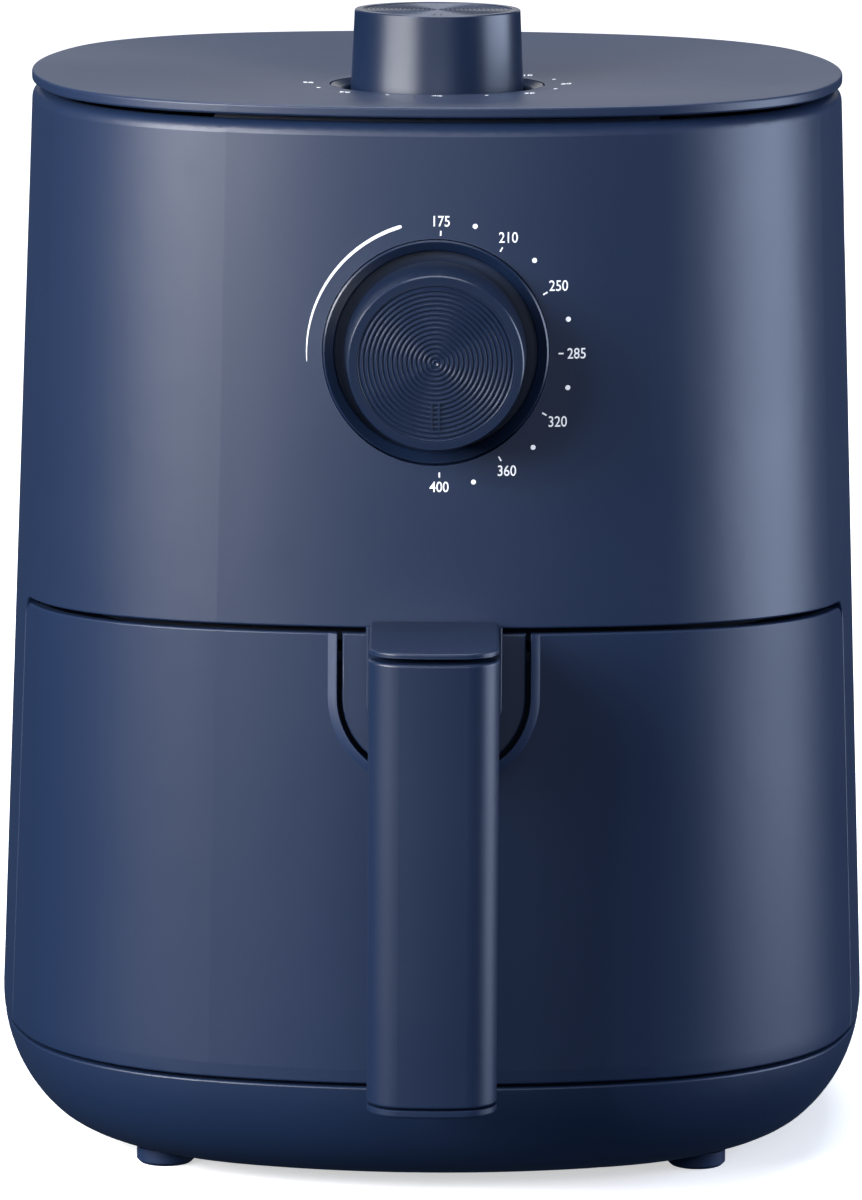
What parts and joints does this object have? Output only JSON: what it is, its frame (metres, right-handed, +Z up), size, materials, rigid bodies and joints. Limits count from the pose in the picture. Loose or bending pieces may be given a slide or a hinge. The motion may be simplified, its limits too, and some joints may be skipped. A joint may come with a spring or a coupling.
{
  "type": "air fryer",
  "caption": "Compact countertop air fryer with a rounded square body, dished overhanging lid, two round dials and a pull-out pan drawer with a hanging bar handle.",
  "frame": {"origin": "middle of the whole object's footprint on the surface that the feet stand on", "axes": "+Z up, front with drawer and dial towards -Y, +X to the right seen from the front"},
  "size_m": [0.2192, 0.2664, 0.281],
  "materials": {
    "body_plastic": "satin soft-touch navy",
    "handle_plastic": "satin navy",
    "knob_plastic": "satin navy",
    "trim_plastic": "fine matt navy",
    "black_plastic": "matt",
    "foot_rubber": "matt",
    "silicone": "matt",
    "nonstick_coat": "satin non-stick",
    "bright_steel": "plain",
    "galvanised_steel": "spangled",
    "laminated_iron": "laminated",
    "aluminium": "pressed",
    "copper_wire": "enamelled copper wire",
    "ceramic_body": "matt"
  },
  "bodies": {
    "housing": {"base_shell": "body_plastic", "base_deck": "trim_plastic", "foot_front_left": "foot_rubber", "foot_front_right": "foot_rubber", "foot_rear_left": "foot_rubber", "foot_rear_right": "foot_rubber", "base_screws": "bright_steel", "upper_housing": "body_plastic", "underside_cover": "trim_plastic", "top_lid": "body_plastic", "intake_collar": "trim_plastic", "lid_screws": "bright_steel", "timer_bezel": "knob_plastic", "temp_bezel": "knob_plastic", "timer_movement": "black_plastic", "thermostat_body": "black_plastic", "cavity_liner": "galvanised_steel", "drawer_rails": "black_plastic", "interlock_switch": "black_plastic", "heat_chamber": "galvanised_steel", "exhaust_duct": "galvanised_steel", "element_guard": "bright_steel", "heating_element": "bright_steel", "element_clamps": "bright_steel", "heat_shield": "galvanised_steel", "thermostat_probe": "bright_steel", "thermal_fuse": "ceramic_body", "terminal_block": "black_plastic", "motor_stator": "laminated_iron", "motor_winding": "copper_wire", "motor_bracket": "galvanised_steel", "motor_top_strap": "galvanised_steel", "motor_bearings": "bright_steel", "rear_vent_cover": "trim_plastic", "cord_gland": "black_plastic"},
    "drawer": {"drawer_front": "body_plastic", "handle_bracket": "body_plastic", "handle_frame": "handle_plastic", "handle_front_cover": "handle_plastic", "handle_top_cap": "handle_plastic", "handle_screws": "bright_steel", "pan": "nonstick_coat", "drawer_inner_panel": "trim_plastic", "drawer_deck": "trim_plastic", "pan_bracket": "bright_steel", "pan_screws": "bright_steel"},
    "tray": {"crisper_tray": "nonstick_coat", "tray_feet": "silicone"},
    "timer_dial": {"timer_knob": "knob_plastic", "timer_knob_face": "knob_plastic", "timer_shaft": "bright_steel"},
    "temp_dial": {"temp_knob": "knob_plastic", "temp_knob_face": "knob_plastic", "temp_shaft": "bright_steel"},
    "rotor": {"motor_shaft": "bright_steel", "hot_air_fan": "aluminium", "cooling_fan": "black_plastic", "fan_nut": "bright_steel", "motor_rotor": "laminated_iron"},
    "plunger": {"switch_plunger": "black_plastic"}
  },
  "joints": [
    {"name": "drawer_slide", "type": "slide", "parent": "housing", "child": "drawer", "axis": [0, -1, 0], "range_m": [0, 0.19]},
    {"name": "tray_lift", "type": "slide", "parent": "drawer", "child": "tray", "axis": [0, 0, 1], "range_m": [0, 0.085]},
    {"name": "timer_turn", "type": "hinge", "parent": "housing", "child": "timer_dial", "pos_m": [0, 0.01725, 0.2618], "axis": [0, 0, 1], "range_deg": [-270, 0]},
    {"name": "temp_turn", "type": "hinge", "parent": "housing", "child": "temp_dial", "pos_m": [0, -0.08546, 0.2081], "axis": [0, -1, 0], "range_deg": [0, 180]},
    {"name": "fan_spin", "type": "hinge", "parent": "housing", "child": "rotor", "pos_m": [0, 0.01725, 0.2], "axis": [0, 0, 1], "continuous": true},
    {"name": "switch_press", "type": "slide", "parent": "housing", "child": "plunger", "axis": [0, 1, 0], "range_m": [0, 0.001], "stiffness_N_per_m": 300}
  ]
}
